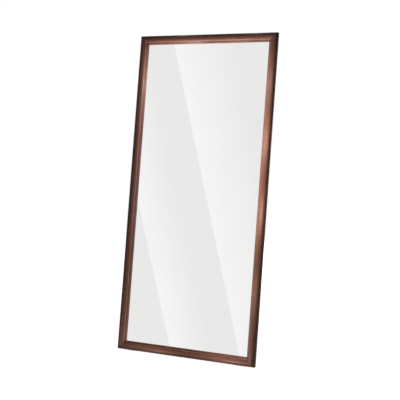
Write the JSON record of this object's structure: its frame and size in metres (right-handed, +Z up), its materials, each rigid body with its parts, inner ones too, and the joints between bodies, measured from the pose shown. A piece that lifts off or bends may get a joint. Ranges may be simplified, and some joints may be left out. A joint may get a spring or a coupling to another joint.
{
  "type": "leaning floor mirror",
  "caption": "Tall framed mirror that stands on the floor and leans back, with a dark wood moulding, a backing board held by turn buttons, and hanging rings.",
  "frame": {"origin": "on the floor, in the middle of the leaning mirror's footprint", "axes": "+Z up, the glass faces -Y and slightly up, the top leans towards +Y, +X to the right seen from the front"},
  "size_m": [0.76, 0.3352, 1.6264],
  "materials": {
    "walnut_moulding": "satin lacquer",
    "silvered_glass": "polished",
    "hardboard": "matte",
    "white_foam": "matte",
    "black_foam_tape": "matte",
    "zinc_steel": "zinc plated",
    "black_rubber": "matte"
  },
  "bodies": {
    "frame": {"backing_board": "hardboard", "bottom_rail": "walnut_moulding", "corner_plate_bottom_left": "zinc_steel", "corner_plate_bottom_right": "zinc_steel", "corner_plate_screws": "zinc_steel", "corner_plate_top_left": "zinc_steel", "corner_plate_top_right": "zinc_steel", "corner_v_nails": "zinc_steel", "edge_spacers": "black_rubber", "foam_sheet": "white_foam", "foot_pad_left": "black_rubber", "foot_pad_right": "black_rubber", "hanger_screws": "zinc_steel", "hanger_strap_left": "zinc_steel", "hanger_strap_right": "zinc_steel", "left_stile": "walnut_moulding", "mirror_glass": "silvered_glass", "rabbet_tape_bottom": "black_foam_tape", "rabbet_tape_left": "black_foam_tape", "rabbet_tape_right": "black_foam_tape", "rabbet_tape_top": "black_foam_tape", "right_stile": "walnut_moulding", "setting_block_left": "black_rubber", "setting_block_right": "black_rubber", "top_rail": "walnut_moulding", "turn_button_screws": "zinc_steel", "wall_bumper_bottom_left": "black_rubber", "wall_bumper_bottom_right": "black_rubber", "wall_bumper_top_left": "black_rubber", "wall_bumper_top_right": "black_rubber"},
    "turn_button_left_low": {"turn_button_left_low": "zinc_steel"},
    "turn_button_left_middle": {"turn_button_left_middle": "zinc_steel"},
    "turn_button_left_high": {"turn_button_left_high": "zinc_steel"},
    "turn_button_right_low": {"turn_button_right_low": "zinc_steel"},
    "turn_button_right_middle": {"turn_button_right_middle": "zinc_steel"},
    "turn_button_right_high": {"turn_button_right_high": "zinc_steel"},
    "turn_button_bottom_left": {"turn_button_bottom_left": "zinc_steel"},
    "turn_button_bottom_right": {"turn_button_bottom_right": "zinc_steel"},
    "turn_button_top_left": {"turn_button_top_left": "zinc_steel"},
    "turn_button_top_right": {"turn_button_top_right": "zinc_steel"},
    "hanger_ring_left": {"hanger_ring_left": "zinc_steel"},
    "hanger_ring_right": {"hanger_ring_right": "zinc_steel"}
  },
  "joints": [
    {"name": "turn_button_left_low_swivel", "type": "hinge", "parent": "frame", "child": "turn_button_left_low", "pos_m": [-0.355, -0.10587, 0.17261], "axis": [0, 0.9833, -0.1822], "continuous": true},
    {"name": "turn_button_left_middle_swivel", "type": "hinge", "parent": "frame", "child": "turn_button_left_middle", "pos_m": [-0.355, 0.01259, 0.81173], "axis": [0, 0.9833, -0.1822], "continuous": true},
    {"name": "turn_button_left_high_swivel", "type": "hinge", "parent": "frame", "child": "turn_button_left_high", "pos_m": [-0.355, 0.13104, 1.45085], "axis": [0, 0.9833, -0.1822], "continuous": true},
    {"name": "turn_button_right_low_swivel", "type": "hinge", "parent": "frame", "child": "turn_button_right_low", "pos_m": [0.355, -0.10587, 0.17261], "axis": [0, 0.9833, -0.1822], "continuous": true},
    {"name": "turn_button_right_middle_swivel", "type": "hinge", "parent": "frame", "child": "turn_button_right_middle", "pos_m": [0.355, 0.01259, 0.81173], "axis": [0, 0.9833, -0.1822], "continuous": true},
    {"name": "turn_button_right_high_swivel", "type": "hinge", "parent": "frame", "child": "turn_button_right_high", "pos_m": [0.355, 0.13104, 1.45085], "axis": [0, 0.9833, -0.1822], "continuous": true},
    {"name": "turn_button_bottom_left_swivel", "type": "hinge", "parent": "frame", "child": "turn_button_bottom_left", "pos_m": [-0.19, -0.1332, 0.02513], "axis": [0, 0.9833, -0.1822], "continuous": true},
    {"name": "turn_button_bottom_right_swivel", "type": "hinge", "parent": "frame", "child": "turn_button_bottom_right", "pos_m": [0.19, -0.1332, 0.02513], "axis": [0, 0.9833, -0.1822], "continuous": true},
    {"name": "turn_button_top_left_swivel", "type": "hinge", "parent": "frame", "child": "turn_button_top_left", "pos_m": [-0.19, 0.15838, 1.59834], "axis": [0, 0.9833, -0.1822], "continuous": true},
    {"name": "turn_button_top_right_swivel", "type": "hinge", "parent": "frame", "child": "turn_button_top_right", "pos_m": [0.19, 0.15838, 1.59834], "axis": [0, 0.9833, -0.1822], "continuous": true},
    {"name": "hanger_ring_left_swing", "type": "hinge", "parent": "frame", "child": "hanger_ring_left", "pos_m": [-0.3625, 0.10461, 1.29811], "axis": [1, 0, 0], "range_deg": [-9.5, 167]},
    {"name": "hanger_ring_right_swing", "type": "hinge", "parent": "frame", "child": "hanger_ring_right", "pos_m": [0.3625, 0.10461, 1.29811], "axis": [1, 0, 0], "range_deg": [-9.5, 167]}
  ]
}
